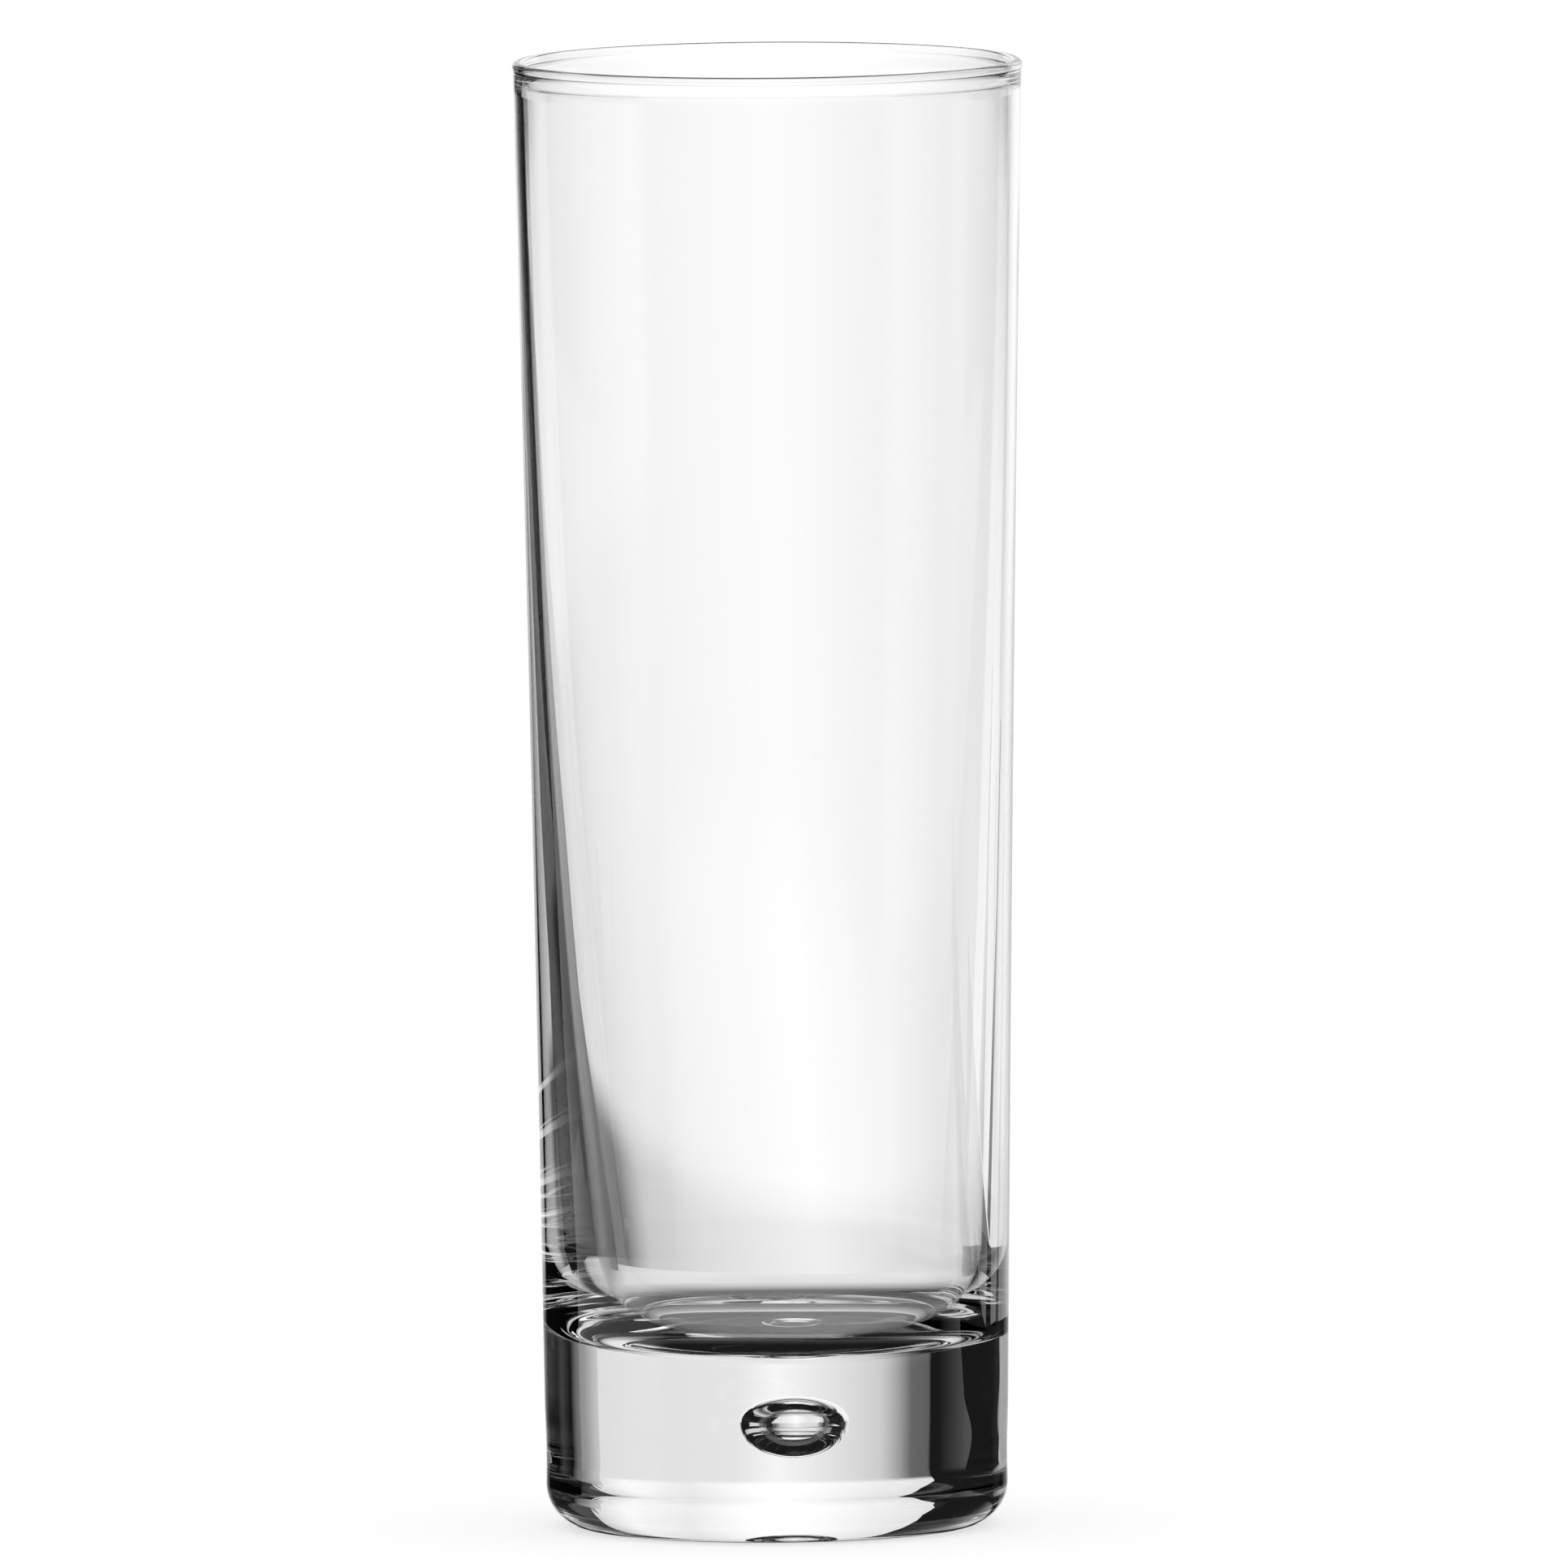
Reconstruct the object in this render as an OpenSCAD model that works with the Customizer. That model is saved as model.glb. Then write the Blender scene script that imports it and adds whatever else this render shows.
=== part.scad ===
// Highball glass with a heavy base and one air bubble sealed inside it.
// The glass stands on z = 0 with its axis on Z, and every length is in millimetres.
// Two gathers of glass meet on a flat seam at the widest part of the bubble: the bowl
// above it, with a hollow in its underside, and the base below it, which closes the hollow.

/* [Outside] */
// Height from the table to the top of the rim
glass_h = 167; // [120:1:200]
// Outer diameter at the rim
rim_d = 58; // [54:0.5:80]
// Outer diameter at the foot of the side wall
foot_d = 52.4; // [46:0.2:57]
// How far the middle of the side wall is drawn in from a straight taper
wall_flare = 0.2; // [0:0.1:2]

/* [Cup] */
// Thickness of the wall just under the rim
wall_t = 1.1; // [0.9:0.1:2.5]
// How far the fire-polished bead at the rim stands out from each face of the wall
rim_bead = 0.1; // [0.05:0.05:0.4]
// Thickness of the wall where it meets the rounding of the floor
wall_foot_t = 4.3; // [3:0.1:6]
// How late the wall thickens on its way down: 1 is evenly, more is later
wall_swell = 1.7; // [1:0.1:3]
// Thickness of the glass under the lowest point of the floor
floor_t = 19.2; // [18:0.2:30]
// How far the floor sinks towards its middle
floor_dish = 1.8; // [0.5:0.1:4]
// Height of the rounding between the wall and the floor
round_h = 11; // [6:0.5:20]
// Width of the rounding between the wall and the floor
round_w = 6.5; // [3:0.5:10]

/* [Base] */
// Radius of the rounded heel
heel_r = 5; // [3:0.1:6.5]
// Height of the slight waist above the heel
waist_z = 9; // [7:0.1:11]
// Depth of the waist, measured on the radius
waist_depth = 0.1; // [0:0.05:1]
// Height over which the waist fades out above and below
waist_reach = 6; // [3:0.1:7]
// Width of the flat ring that the glass stands on
ring_w = 2; // [1:0.1:4]
// Rise of the hollow underside at its middle
underside_rise = 0.8; // [0.4:0.1:2.5]

/* [Bubble] */
// Diameter of the bubble at its widest
bubble_d = 8.2; // [4:0.1:12]
// Height of the bubble above its widest part
bubble_up = 2.9; // [1.5:0.1:4]
// Depth of the bubble below its widest part
bubble_down = 4; // [2:0.1:5]
// Height of the widest part of the bubble, where the seam is too
bubble_z = 12.7; // [11:0.1:14]
// How far the bubble lies from the axis, towards +X
bubble_x = 1.3; // [0:0.1:5]

/* [Hidden] */
glass_color = [0.88, 0.93, 0.94, 0.5];

// Facets round the axis, and steps along each curve of the outline
round_facets = 96;
wall_steps = 16;
bead_steps = 12;
round_steps = 12;
floor_steps = 8;
heel_steps = 10;
underside_steps = 10;
bubble_steps = 20;

// The bead is a round ring that is centred on the top of the wall
bead_r = wall_t / 2 + rim_bead;
bead_x = rim_d / 2 - bead_r;
bead_z = glass_h - bead_r;
bead_cut_angle = acos(wall_t / 2 / bead_r);
wall_top_z = bead_z - bead_r * sin(bead_cut_angle);
wall_top_r = bead_x + wall_t / 2;

// The inside wall starts above the rounding, and the rounding starts at the rim of the dish
dish_rim_z = floor_t + floor_dish;
round_top_z = dish_rim_z + round_h;
inside_wall_h = wall_top_z - round_top_z;

// Steps that lie closer together near the foot, where the outline bends most
function eased(low, high, i) = low + (high - low) * pow(i / wall_steps, 2);

// Radius of the straight taper with its slight flare, as a function of height
function taper_r(z) =
    let (up = z / wall_top_z)
    foot_d / 2 + (wall_top_r - foot_d / 2) * up - 4 * wall_flare * up * (1 - up);

// Share of the waist's depth at a height: 1 at the waist, fading smoothly to 0
function waist_share(z) =
    let (away = min(abs(z - waist_z) / waist_reach, 1))
    (1 + cos(180 * away)) / 2;

// Outer radius at a height above the heel
function side_r(z) = taper_r(z) - waist_depth * waist_share(z);

// Thickness of the wall, which grows steadily from the rim down to the rounding
function wall_t_at(z) =
    let (down = (wall_top_z - z) / inside_wall_h)
    wall_t + (wall_foot_t - wall_t) * pow(down, wall_swell);

// Inner radius at a height above the rounding
function inner_r(z) = side_r(z) - wall_t_at(z);

// The dished floor ends at this radius, and this is its height inside it
dish_r = inner_r(round_top_z) - round_w;
function floor_z(r) = floor_t + floor_dish * pow(r / dish_r, 2);

// The rounding leaves the wall and meets the dish along their own slopes:
// corner is the point where the two slopes cross
wall_slope = wall_swell * (wall_foot_t - wall_t) / inside_wall_h + (wall_top_r - foot_d / 2) / wall_top_z;
dish_slope = 2 * floor_dish / dish_r;
corner_r = (inner_r(round_top_z) - wall_slope * round_h - wall_slope * dish_slope * dish_r)
    / (1 - wall_slope * dish_slope);
corner_z = dish_rim_z + dish_slope * (corner_r - dish_r);

// Point on a curve from a to c that leaves and arrives along the lines through b
function bend(a, b, c, t) = (1 - t) * (1 - t) * a + 2 * t * (1 - t) * b + t * t * c;

// The heel is a quarter round that runs from the standing ring into the side
heel_x = side_r(heel_r) - heel_r;
ring_in_r = heel_x - ring_w;
function underside_z(r) = underside_rise * (1 + cos(180 * r / ring_in_r)) / 2;

// Outline points, each list running on from the one before it
base_underside = [for (i = [0:underside_steps - 1])
    let (r = ring_in_r * i / underside_steps) [r, underside_z(r)]];
base_heel = [for (i = [0:heel_steps - 1])
    let (a = 90 * i / heel_steps - 90) [heel_x + heel_r * cos(a), heel_r + heel_r * sin(a)]];
base_side = [for (i = [0:heel_steps])
    let (z = heel_r + (bubble_z - heel_r) * i / heel_steps) [side_r(z), z]];
bowl_side = [for (i = [0:wall_steps - 1])
    let (z = eased(bubble_z, wall_top_z, i)) [side_r(z), z]];
bowl_bead = [for (i = [0:bead_steps])
    let (a = (180 + 2 * bead_cut_angle) * i / bead_steps - bead_cut_angle)
    [bead_x + bead_r * cos(a), bead_z + bead_r * sin(a)]];
bowl_inside = [for (i = [wall_steps - 1:-1:1])
    let (z = eased(round_top_z, wall_top_z, i)) [inner_r(z), z]];
bowl_round = [for (i = [0:round_steps])
    bend([inner_r(round_top_z), round_top_z], [corner_r, corner_z], [dish_r, dish_rim_z], i / round_steps)];
bowl_floor = [for (i = [floor_steps - 1:-1:0])
    let (r = dish_r * i / floor_steps) [r, floor_z(r)]];

// The air bubble, an upright drop with a rounder top, that the two gathers close around
module bubble() {
    translate([bubble_x, 0, bubble_z])
        rotate_extrude($fn = round_facets)
            polygon([for (i = [0:bubble_steps])
                let (a = 180 * i / bubble_steps - 90, half_h = a > 0 ? bubble_up : bubble_down)
                [bubble_d / 2 * cos(a), half_h * sin(a)]]);
}

// The cup: thin wall with a beaded rim, a wall that thickens into the dished floor,
// and the thick glass under the floor, with the top of the bubble in its underside
module bowl() {
    color(glass_color)
        difference() {
            rotate_extrude($fn = round_facets)
                polygon(concat([[0, bubble_z]], bowl_side, bowl_bead, bowl_inside, bowl_round, bowl_floor));
            bubble();
        }
}

// The foot: a heavy disc with a rounded heel, a flat standing ring and a hollow underside,
// with the bottom of the bubble in its top
module base() {
    color(glass_color)
        difference() {
            rotate_extrude($fn = round_facets)
                polygon(concat(base_underside, [[ring_in_r, 0]], base_heel, base_side, [[0, bubble_z]]));
            bubble();
        }
}

bowl();
base();
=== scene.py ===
import math

import bpy
from mathutils import Matrix, Vector


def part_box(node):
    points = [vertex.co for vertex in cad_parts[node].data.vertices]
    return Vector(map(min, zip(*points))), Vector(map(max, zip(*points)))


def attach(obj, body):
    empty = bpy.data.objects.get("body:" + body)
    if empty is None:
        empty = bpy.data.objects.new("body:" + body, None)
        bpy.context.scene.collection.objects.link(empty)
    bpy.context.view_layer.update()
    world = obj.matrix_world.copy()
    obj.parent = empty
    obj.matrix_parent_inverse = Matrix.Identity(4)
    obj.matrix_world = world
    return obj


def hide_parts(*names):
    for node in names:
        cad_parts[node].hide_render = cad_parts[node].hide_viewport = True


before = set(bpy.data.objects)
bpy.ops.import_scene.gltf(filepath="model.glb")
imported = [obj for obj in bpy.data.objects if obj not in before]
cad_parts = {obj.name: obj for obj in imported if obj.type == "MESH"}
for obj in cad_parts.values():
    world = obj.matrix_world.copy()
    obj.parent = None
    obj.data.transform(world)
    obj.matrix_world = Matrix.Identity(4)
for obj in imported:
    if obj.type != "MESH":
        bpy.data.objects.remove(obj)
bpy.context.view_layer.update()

MM = 0.001

# Sizes taken from the frame
SEAM_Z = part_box("base")[1].z
RIM_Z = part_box("bowl")[1].z
RIM_R = (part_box("bowl")[1].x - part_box("bowl")[0].x) / 2

# Outside of the glass
FOOT_R = 26.2 * MM
WALL_FLARE = 0.2 * MM
WAIST_Z = 9.0 * MM
WAIST_DEPTH = 0.1 * MM
WAIST_REACH = 6.0 * MM
HEEL_R = 5.0 * MM
RING_W = 2.0 * MM
UNDERSIDE_RISE = 0.8 * MM

# Inside of the glass
WALL_T = 1.1 * MM
RIM_BEAD = 0.1 * MM
WALL_FOOT_T = 4.5 * MM
WALL_SWELL = 2.3
FLOOR_T = 19.2 * MM
FLOOR_DISH = 1.8 * MM
ROUND_H = 11.0 * MM
ROUND_W = 6.0 * MM
# The bore leans a little to +X towards the floor, as it does in the photo, and mostly low down
BORE_LEAN = 1.1 * MM
BORE_LEAN_POWER = 3
BORE_LEAN_TOP = 163.0 * MM
BORE_LEAN_FOOT = 30.0 * MM

# Air bubble
BUBBLE_R = 4.1 * MM
BUBBLE_UP = 2.9 * MM
BUBBLE_DOWN = 4.0 * MM
BUBBLE_X = 1.3 * MM

# The glass itself, and the faint waves in its surface
GLASS_IOR = 1.52
WAVES_PER_METRE = 70
WAVE_DETAIL = 1.0
WAVE_DEPTH = 0.006 * MM

# Steps of the meshes, round the axis and along each curve of the outline
AROUND = 256
WALL_STEPS = 90
# Above 1, the steps of the wall lie closer together towards the foot
WALL_STEP_POWER = 1.5
BEAD_STEPS = 16
ROUND_STEPS = 16
FLOOR_STEPS = 24
HEEL_STEPS = 16
UNDERSIDE_STEPS = 24
BUBBLE_STEPS = 32
PATCH_STEPS = 64

# Camera: FRAME_WIDTH is how much the picture's width takes in at the aim
CAMERA_DISTANCE = 7.0
CAMERA_SENSOR = 36.0
CAMERA_CLIP = (0.1, 100.0)
CAMERA_ELEVATION = math.radians(4.81)
CAMERA_ROLL = math.radians(0.41)
FRAME_WIDTH = 178.1 * MM
AIM = Vector((1.35 * MM, 0, 84.5 * MM))

# Floor: how far it reaches from the axis, its grey, and the glow that the camera sees added to it
FLOOR_REACH = 40.0
FLOOR_GREY = 0.5
FLOOR_GLOW = 0.66

# How often light may bend through or bounce off the glass
MAX_BOUNCES = 24
GLOSSY_BOUNCES = 12


def outline():
    """The glass from the middle of its underside, round the outside and rim, to the middle of its floor."""
    bead_r = WALL_T / 2 + RIM_BEAD
    bead_x = RIM_R - bead_r
    bead_z = RIM_Z - bead_r
    cut = math.acos(WALL_T / 2 / bead_r)
    top_z = bead_z - bead_r * math.sin(cut)
    top_r = bead_x + WALL_T / 2
    round_top_z = FLOOR_T + FLOOR_DISH + ROUND_H
    inside_wall_h = top_z - round_top_z

    def side_r(z):
        up = z / top_z
        taper = FOOT_R + (top_r - FOOT_R) * up - 4 * WALL_FLARE * up * (1 - up)
        away = min(abs(z - WAIST_Z) / WAIST_REACH, 1)
        return taper - WAIST_DEPTH * (1 + math.cos(math.pi * away)) / 2

    def inner_r(z):
        down = (top_z - z) / inside_wall_h
        return side_r(z) - WALL_T - (WALL_FOOT_T - WALL_T) * down**WALL_SWELL

    heel_x = side_r(HEEL_R) - HEEL_R
    ring_in = heel_x - RING_W
    dish_r = inner_r(round_top_z) - ROUND_W
    wall_slope = WALL_SWELL * (WALL_FOOT_T - WALL_T) / inside_wall_h + (top_r - FOOT_R) / top_z
    dish_slope = 2 * FLOOR_DISH / dish_r
    corner_r = inner_r(round_top_z) - wall_slope * ROUND_H - wall_slope * dish_slope * dish_r
    corner_r /= 1 - wall_slope * dish_slope
    corner_z = FLOOR_T + FLOOR_DISH + dish_slope * (corner_r - dish_r)

    points = []
    for i in range(UNDERSIDE_STEPS):
        r = ring_in * i / UNDERSIDE_STEPS
        points.append((r, UNDERSIDE_RISE * (1 + math.cos(math.pi * r / ring_in)) / 2))
    points.append((ring_in, 0))
    for i in range(HEEL_STEPS):
        a = math.pi / 2 * (i / HEEL_STEPS - 1)
        points.append((heel_x + HEEL_R * math.cos(a), HEEL_R + HEEL_R * math.sin(a)))
    for i in range(WALL_STEPS):
        z = HEEL_R + (top_z - HEEL_R) * (i / WALL_STEPS) ** WALL_STEP_POWER
        points.append((side_r(z), z))
    for i in range(BEAD_STEPS + 1):
        a = (math.pi + 2 * cut) * i / BEAD_STEPS - cut
        points.append((bead_x + bead_r * math.cos(a), bead_z + bead_r * math.sin(a)))
    for i in range(WALL_STEPS - 1, 0, -1):
        z = round_top_z + (top_z - round_top_z) * (i / WALL_STEPS) ** WALL_STEP_POWER
        points.append((inner_r(z), z))
    start, bend, end = (
        Vector((inner_r(round_top_z), round_top_z)),
        Vector((corner_r, corner_z)),
        Vector((dish_r, FLOOR_T + FLOOR_DISH)),
    )
    for i in range(ROUND_STEPS + 1):
        t = i / ROUND_STEPS
        p = (1 - t) ** 2 * start + 2 * t * (1 - t) * bend + t * t * end
        points.append((p.x, p.y))
    for i in range(FLOOR_STEPS - 1, -1, -1):
        r = dish_r * i / FLOOR_STEPS
        points.append((r, FLOOR_T + FLOOR_DISH * (r / dish_r) ** 2))
    return points


def lathe(profile, centres):
    """Vertices and faces of a profile turned about Z, each ring about its own centre on the X axis."""
    verts = [(centres[0], 0, profile[0][1])]
    for (r, z), centre in zip(profile[1:-1], centres[1:-1]):
        for k in range(AROUND):
            a = math.tau * k / AROUND
            verts.append((centre + r * math.cos(a), r * math.sin(a), z))
    verts.append((centres[-1], 0, profile[-1][1]))
    rings = len(profile) - 2
    last = len(verts) - 1
    faces = []
    for k in range(AROUND):
        n = (k + 1) % AROUND
        faces.append((0, 1 + n, 1 + k))
        for ring in range(rings - 1):
            low, high = 1 + ring * AROUND, 1 + (ring + 1) * AROUND
            faces.append((low + k, low + n, high + n, high + k))
        top = 1 + (rings - 1) * AROUND
        faces.append((last, top + k, top + n))
    return verts, faces


def bubble_profile():
    """Two quarter ellipses from the top of the bubble to its bottom, so that the faces look into the air."""
    points = []
    for i in range(BUBBLE_STEPS + 1):
        a = math.pi / 2 - math.pi * i / BUBBLE_STEPS
        half = BUBBLE_UP if a > 0 else BUBBLE_DOWN
        points.append((BUBBLE_R * math.cos(a), SEAM_Z + half * math.sin(a)))
    return points


def make_glass():
    """The glass body and the shell of its bubble, as one mesh."""
    body = outline()
    rim = max(range(len(body)), key=lambda i: body[i][1])
    centres = []
    for i, (r, z) in enumerate(body):
        share = min(max((BORE_LEAN_TOP - z) / (BORE_LEAN_TOP - BORE_LEAN_FOOT), 0), 1)
        centres.append(BORE_LEAN * share**BORE_LEAN_POWER if i > rim else 0.0)
    verts, faces = lathe(body, centres)
    bubble = bubble_profile()
    bubble_verts, bubble_faces = lathe(bubble, [BUBBLE_X] * len(bubble))
    offset = len(verts)
    verts += bubble_verts
    faces += [tuple(v + offset for v in face) for face in bubble_faces]
    mesh = bpy.data.meshes.new("highball_glass")
    mesh.from_pydata(verts, [], faces)
    mesh.shade_smooth()
    obj = bpy.data.objects.new("highball_glass", mesh)
    bpy.context.collection.objects.link(obj)
    return obj


def glass_material():
    """Clear glass with faint waves in its surface."""
    mat = bpy.data.materials.new("clear_glass")
    mat.use_nodes = True
    tree = mat.node_tree
    shader = tree.nodes["Principled BSDF"]
    shader.inputs["Base Color"].default_value = (1, 1, 1, 1)
    shader.inputs["Roughness"].default_value = 0.0
    shader.inputs["IOR"].default_value = GLASS_IOR
    shader.inputs["Transmission Weight"].default_value = 1.0
    waves = tree.nodes.new("ShaderNodeTexNoise")
    tree.links.new(tree.nodes.new("ShaderNodeTexCoord").outputs["Object"], waves.inputs["Vector"])
    waves.inputs["Scale"].default_value = WAVES_PER_METRE
    waves.inputs["Detail"].default_value = WAVE_DETAIL
    bump = tree.nodes.new("ShaderNodeBump")
    bump.inputs["Strength"].default_value = 1.0
    bump.inputs["Distance"].default_value = WAVE_DEPTH
    tree.links.new(waves.outputs["Fac"], bump.inputs["Height"])
    tree.links.new(bump.outputs["Normal"], shader.inputs["Normal"])
    return mat


# What follows shows only through the glass and in its reflections, apart from PLAIN_LIGHT, which
# falls on the floor. Azimuths and elevations are in degrees as seen from the glass: azimuth 0 is
# straight behind it, and right is positive. Softness is half the width of an edge
UNLIT = 0.01
PLAIN_LIGHT = 0.8
EDGE_SOFTNESS = 1
# Light from the sides, as brightness by azimuth, in a low band of elevation on each side
SIDE_LIGHT = [
    (-180, 0.01),
    (-91, 0.01),
    (-80, 0.5),
    (-65, 0.9),
    (70, 0.9),
    (80, 0.5),
    (91, 0.01),
    (180, 0.01),
]
LEFT_BAND = (-9.4, -5.2)
RIGHT_BAND = (-12, -5.2)
# Softness of a band at its bottom and at its top
BAND_SOFTNESS = (0.8, 0.3)
# Light from the table, as brightness by elevation, and how far it spreads to the sides
TABLE_LIGHT = [(-90, 0.05), (-57, 0.12), (-47, 0.24), (-31, 0.82), (-25, 0.87), (90, 0.88)]
TABLE_SPREAD = [
    (-180, 0.8),
    (-60, 0.8),
    (-42, 0.5),
    (-38, 0.02),
    (-30, 0.02),
    (-26, 0.2),
    (-22, 0.5),
    (-17, 0.8),
    (-8, 1.0),
    (20, 1.0),
    (27, 0.75),
    (34, 0.5),
    (41, 0.1),
    (46, 0.02),
    (80, 0.02),
    (100, 0.8),
    (180, 0.8),
]
TABLE_EDGE = -18
# Light in front of the glass, on both sides of the camera, as brightness by azimuth, and its upper edge
FRONT_LIGHT = [(-180, 0.7), (-122, 0.7), (-112, 0.0), (112, 0.0), (122, 0.7), (180, 0.7)]
FRONT_TOP = -12.5
# Light at the left, for glances through the glass from its right
LEFT_LIGHT = [(-180, 0.0), (-125, 0.0), (-115, 0.7), (-72, 0.7), (-62, 0.0), (180, 0.0)]
LEFT_LIGHT_BAND = (-9, 6)
LEFT_LIGHT_SOFTNESS = (0.5, 2)

# Light panel close behind the glass, as brightness by X in millimetres, above and below its join,
# and how far behind the axis it stands, how high it reaches, and where it joins and fades
PANEL_UPPER = [(-110, 0.8), (-50, 0.93), (0, 1.15), (45, 0.9), (95, 1.03), (160, 0.65)]
PANEL_LOWER = [
    (-110, 0.0),
    (-99, 0.0),
    (-96, 0.12),
    (-78, 0.15),
    (-55, 0.65),
    (0, 1.0),
    (18, 0.85),
    (160, 0.75),
]
PANEL_Y = 195
PANEL_Z = (-45, 260)
PANEL_JOIN = (2, 14)
PANEL_FADE = (200, 260)
# Cards between the glass and the panel: distance behind the axis, corners as X and Z in millimetres,
# and brightness by X
CARDS = {
    "near_right_card": (
        80,
        [(40, -18), (40, 16), (60, 15), (100, 12), (140, 8), (500, 4), (500, -18)],
        [(40, 0.6), (50, 0.28), (60, 0.16), (68, 0.0), (90, 0.05), (110, 0.0), (500, 0.0)],
    ),
    "left_card": (
        194,
        [
            (-66, 230),
            (-75, 125),
            (-82, 100),
            (-90, 72),
            (-92, 45),
            (-104, 20),
            (-99, 6),
            (-98, -20),
            (-98, -60),
            (-450, -60),
            (-450, -20),
            (-370, 5),
            (-320, 20),
            (-270, 45),
            (-212, 75),
            (-188, 97),
            (-144, 125),
            (-120, 230),
        ],
        [(-450, 0.01), (-66, 0.01)],
    ),
    "grey_strip": (
        193,
        [(143, 60), (148, 60), (160, 33), (197, -12), (172, -12), (150, 33)],
        [(143, 0.2), (197, 0.2)],
    ),
    "dark_strip": (
        193,
        [(212, 60), (217, 60), (240, 26), (285, -12), (238, -12), (224, 26)],
        [(212, 0.05), (285, 0.05)],
    ),
    "low_right_card": (
        192,
        [(178, -60), (178, -13), (450, -13), (450, -60)],
        [(178, 0.1), (450, 0.1)],
    ),
}
# Painted shade of the table under the glass, where the glass shades it: a dark glowing disc seen only
# through the glass, as brightness by distance from the axis in millimetres
CONTACT_SHADE = [(0, 0.01), (18, 0.01), (23, 0.05)]
CONTACT_DROP = 0.1 * MM


def add_ramp(tree, value, stops, low, high):
    """A colour ramp of grey levels over a value that runs from low to high."""
    place = tree.nodes.new("ShaderNodeMapRange")
    tree.links.new(value, place.inputs["Value"])
    place.inputs["From Min"].default_value = low
    place.inputs["From Max"].default_value = high
    ramp = tree.nodes.new("ShaderNodeValToRGB")
    tree.links.new(place.outputs["Result"], ramp.inputs["Fac"])
    elements = ramp.color_ramp.elements
    while len(elements) > 1:
        elements.remove(elements[-1])
    for i, (at, level) in enumerate(stops):
        position = (at - low) / (high - low)
        element = elements[0] if i == 0 else elements.new(position)
        element.position = position
        element.color = (level, level, level, 1)
    return ramp.outputs["Color"]


def math_node(tree, operation, a, b=0.0):
    """One step of arithmetic on sockets or plain numbers."""
    node = tree.nodes.new("ShaderNodeMath")
    node.operation = operation
    for socket, value in zip(node.inputs, (a, b)):
        if isinstance(value, (int, float)):
            socket.default_value = value
        else:
            tree.links.new(value, socket)
    return node.outputs[0]


def mix_node(tree, factor, a, b):
    """The grey a where the factor is 0 and the grey b where it is 1."""
    node = tree.nodes.new("ShaderNodeMixRGB")
    for socket, value in zip(node.inputs, (factor, a, b)):
        if isinstance(value, (int, float)):
            socket.default_value = (value, value, value, 1)
        else:
            tree.links.new(value, socket)
    return node.outputs[0]


def rise(tree, value, start, end):
    """A soft step: 0 below the start and 1 above the end."""
    node = tree.nodes.new("ShaderNodeMapRange")
    node.interpolation_type = "SMOOTHSTEP"
    tree.links.new(value, node.inputs["Value"])
    node.inputs["From Min"].default_value = start
    node.inputs["From Max"].default_value = end
    return node.outputs["Result"]


def between(tree, value, band, softness):
    """1 inside a band and 0 outside it, with soft edges."""
    low, high = band
    soft_low, soft_high = softness
    return math_node(
        tree,
        "SUBTRACT",
        rise(tree, value, low - soft_low, low + soft_low),
        rise(tree, value, high - soft_high, high + soft_high),
    )


def edge_at(tree, value, place):
    """0 below a place and 1 above it, with the usual soft edge."""
    return rise(tree, value, place - EDGE_SOFTNESS, place + EDGE_SOFTNESS)


def make_world():
    """White to the camera, plain light for the floor, and the studio's light for the glass."""
    world = bpy.data.worlds.new("studio")
    bpy.context.scene.world = world
    world.use_nodes = True
    tree = world.node_tree
    tree.nodes.clear()
    new, link = tree.nodes.new, tree.links.new

    split = new("ShaderNodeSeparateXYZ")
    link(new("ShaderNodeTexCoord").outputs["Generated"], split.inputs[0])
    azimuth = math_node(tree, "DEGREES", math_node(tree, "ARCTAN2", split.outputs["X"], split.outputs["Y"]))
    elevation = math_node(tree, "DEGREES", math_node(tree, "ARCSINE", split.outputs["Z"]))
    left_band = between(tree, elevation, LEFT_BAND, BAND_SOFTNESS)
    right_band = between(tree, elevation, RIGHT_BAND, BAND_SOFTNESS)
    band = mix_node(tree, edge_at(tree, azimuth, 0), left_band, right_band)
    light = mix_node(tree, band, UNLIT, add_ramp(tree, azimuth, SIDE_LIGHT, -180, 180))
    front = add_ramp(tree, azimuth, FRONT_LIGHT, -180, 180)
    front = mix_node(tree, edge_at(tree, elevation, FRONT_TOP), front, 0.0)
    beside = between(tree, elevation, LEFT_LIGHT_BAND, LEFT_LIGHT_SOFTNESS)
    left = mix_node(tree, beside, 0.0, add_ramp(tree, azimuth, LEFT_LIGHT, -180, 180))
    light = math_node(tree, "MAXIMUM", light, math_node(tree, "MAXIMUM", front, left))
    table = math_node(
        tree,
        "MULTIPLY",
        add_ramp(tree, elevation, TABLE_LIGHT, -90, 90),
        add_ramp(tree, azimuth, TABLE_SPREAD, -180, 180),
    )
    light = mix_node(tree, edge_at(tree, elevation, TABLE_EDGE), table, light)
    paths = new("ShaderNodeLightPath")
    through_glass = math_node(
        tree, "MAXIMUM", paths.outputs["Is Glossy Ray"], paths.outputs["Is Transmission Ray"]
    )
    light = mix_node(tree, through_glass, PLAIN_LIGHT, light)
    seen = mix_node(tree, paths.outputs["Is Camera Ray"], light, 1.0)
    background = new("ShaderNodeBackground")
    link(seen, background.inputs["Color"])
    output = new("ShaderNodeOutputWorld")
    link(background.outputs[0], output.inputs["Surface"])


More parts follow.
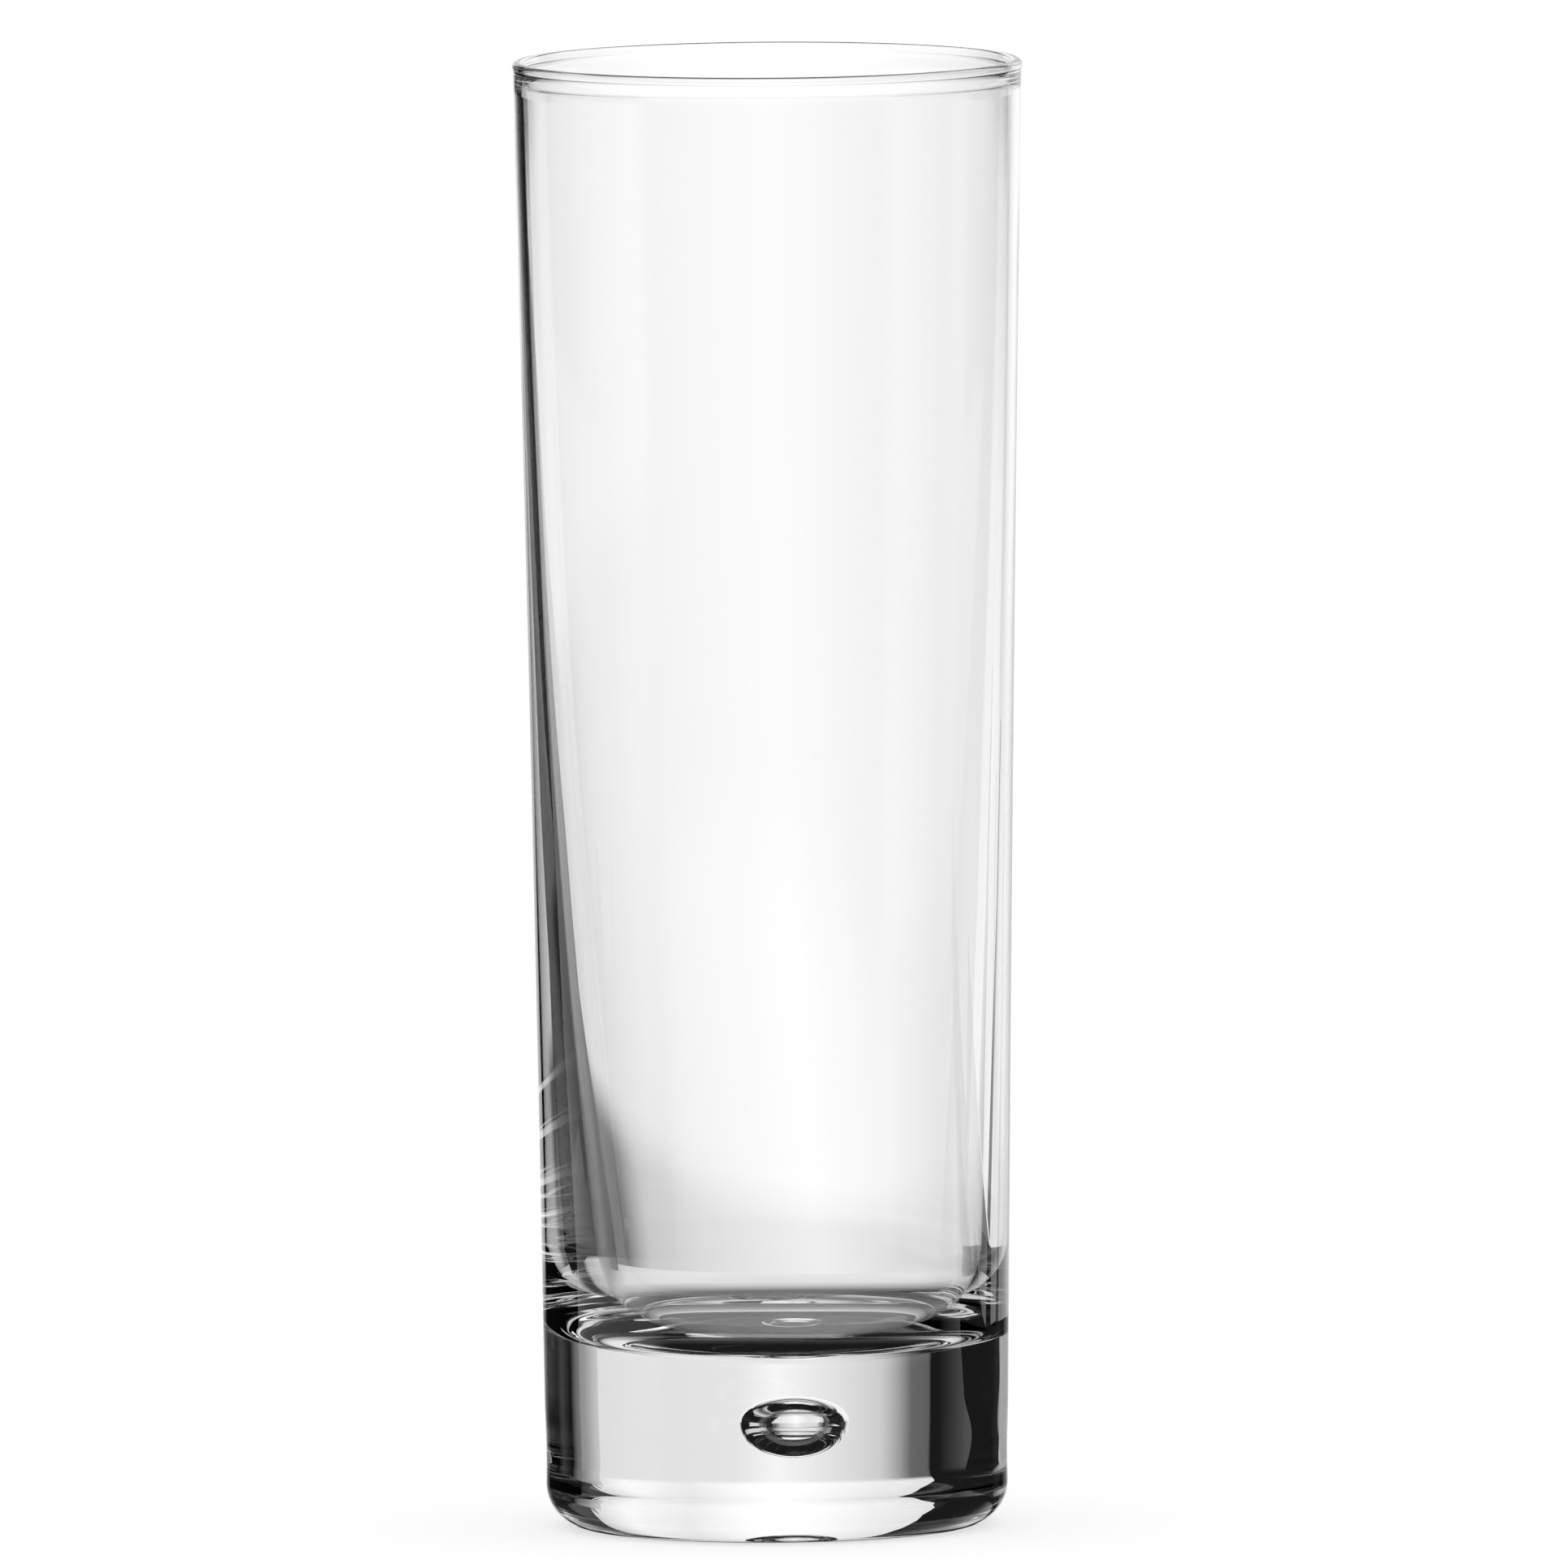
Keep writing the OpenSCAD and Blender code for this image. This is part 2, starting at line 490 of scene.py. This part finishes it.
def add_prop(name, corners):
    """A flat, dark part of the studio that shows only in and through the glass, to be lit by its maker."""
    mesh = bpy.data.meshes.new(name)
    mesh.from_pydata(corners, [], [tuple(range(len(corners)))])
    prop = bpy.data.objects.new(name, mesh)
    bpy.context.collection.objects.link(prop)
    mat = bpy.data.materials.new(name)
    mat.use_nodes = True
    tree = mat.node_tree
    tree.nodes.clear()
    glow = tree.nodes.new("ShaderNodeEmission")
    glow.inputs["Color"].default_value = (0, 0, 0, 1)
    output = tree.nodes.new("ShaderNodeOutputMaterial")
    tree.links.new(glow.outputs[0], output.inputs["Surface"])
    mesh.materials.append(mat)
    prop.visible_camera = False
    prop.visible_diffuse = False
    prop.visible_shadow = False
    return tree, glow


def place_in_mm(tree):
    """The X and Z of a point on a prop as sockets, in millimetres."""
    split = tree.nodes.new("ShaderNodeSeparateXYZ")
    tree.links.new(tree.nodes.new("ShaderNodeTexCoord").outputs["Object"], split.inputs[0])
    return [math_node(tree, "DIVIDE", split.outputs[axis], MM) for axis in ("X", "Z")]


def make_panel():
    """The light panel behind the glass: its upper and lower parts meet softly, and its top fades out."""
    left, right = PANEL_UPPER[0][0], PANEL_UPPER[-1][0]
    low, high = PANEL_Z
    corners = [(left, low), (right, low), (right, high), (left, high)]
    tree, glow = add_prop("light_panel", [(x * MM, PANEL_Y * MM, z * MM) for x, z in corners])
    across, height = place_in_mm(tree)
    upper = add_ramp(tree, across, PANEL_UPPER, left, right)
    lower = add_ramp(tree, across, PANEL_LOWER, left, right)
    level = mix_node(tree, rise(tree, height, *PANEL_JOIN), lower, upper)
    level = mix_node(tree, rise(tree, height, *PANEL_FADE), level, UNLIT)
    tree.links.new(level, glow.inputs["Color"])


def make_cards():
    """The black and grey cards that give the walls and the base their dark edges."""
    for name, (distance, corners, stops) in CARDS.items():
        tree, glow = add_prop(name, [(x * MM, distance * MM, z * MM) for x, z in corners])
        level = add_ramp(tree, place_in_mm(tree)[0], stops, stops[0][0], stops[-1][0])
        tree.links.new(level, glow.inputs["Color"])


def make_contact_shade():
    """Painted shade under the glass: a dark glowing disc on the table, standing in for the shade there, seen
    only through the glass.
    """
    edge = CONTACT_SHADE[-1][0]
    turns = [math.tau * k / PATCH_STEPS for k in range(PATCH_STEPS)]
    corners = [(edge * MM * math.cos(a), edge * MM * math.sin(a), -CONTACT_DROP) for a in turns]
    tree, glow = add_prop("painted_contact_shade", corners)
    distance = tree.nodes.new("ShaderNodeVectorMath")
    distance.operation = "LENGTH"
    tree.links.new(tree.nodes.new("ShaderNodeTexCoord").outputs["Object"], distance.inputs[0])
    reach = math_node(tree, "DIVIDE", distance.outputs["Value"], MM)
    tree.links.new(add_ramp(tree, reach, CONTACT_SHADE, 0, edge), glow.inputs["Color"])


def make_floor():
    """A pale floor that shows as white and keeps the object's soft shadow."""
    low, high = -FLOOR_REACH, FLOOR_REACH
    corners = [(low, low, 0), (high, low, 0), (high, high, 0), (low, high, 0)]
    mesh = bpy.data.meshes.new("floor")
    mesh.from_pydata(corners, [], [(0, 1, 2, 3)])
    floor = bpy.data.objects.new("floor", mesh)
    bpy.context.collection.objects.link(floor)
    mat = bpy.data.materials.new("white_floor")
    mat.use_nodes = True
    tree = mat.node_tree
    tree.nodes.clear()
    diffuse = tree.nodes.new("ShaderNodeBsdfDiffuse")
    diffuse.inputs["Color"].default_value = (FLOOR_GREY, FLOOR_GREY, FLOOR_GREY, 1)
    glow = tree.nodes.new("ShaderNodeEmission")
    glow.inputs["Color"].default_value = (FLOOR_GLOW, FLOOR_GLOW, FLOOR_GLOW, 1)
    paths = tree.nodes.new("ShaderNodeLightPath")
    tree.links.new(paths.outputs["Is Camera Ray"], glow.inputs["Strength"])
    add = tree.nodes.new("ShaderNodeAddShader")
    tree.links.new(diffuse.outputs[0], add.inputs[0])
    tree.links.new(glow.outputs[0], add.inputs[1])
    output = tree.nodes.new("ShaderNodeOutputMaterial")
    tree.links.new(add.outputs[0], output.inputs["Surface"])
    mesh.materials.append(mat)
    floor.visible_glossy = False
    floor.visible_transmission = False


def make_camera():
    """The photo's camera: a long lens, a little above the glass."""
    data = bpy.data.cameras.new("camera")
    camera = bpy.data.objects.new("camera", data)
    bpy.context.collection.objects.link(camera)
    data.sensor_width = CAMERA_SENSOR
    data.lens = CAMERA_SENSOR * CAMERA_DISTANCE / FRAME_WIDTH
    data.clip_start, data.clip_end = CAMERA_CLIP
    back = Vector((0, -math.cos(CAMERA_ELEVATION), math.sin(CAMERA_ELEVATION)))
    turn = (-back).to_track_quat("-Z", "Y").to_matrix().to_4x4() @ Matrix.Rotation(-CAMERA_ROLL, 4, "Z")
    camera.matrix_world = Matrix.Translation(AIM + back * CAMERA_DISTANCE) @ turn
    bpy.context.scene.camera = camera


glass = make_glass()
glass.data.materials.append(glass_material())
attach(glass, "root")
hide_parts("bowl", "base")
make_world()
make_panel()
make_cards()
make_contact_shade()
make_floor()
make_camera()

scene = bpy.context.scene
scene.view_settings.view_transform = "Standard"
scene.cycles.max_bounces = MAX_BOUNCES
scene.cycles.transmission_bounces = MAX_BOUNCES
scene.cycles.glossy_bounces = GLOSSY_BOUNCES
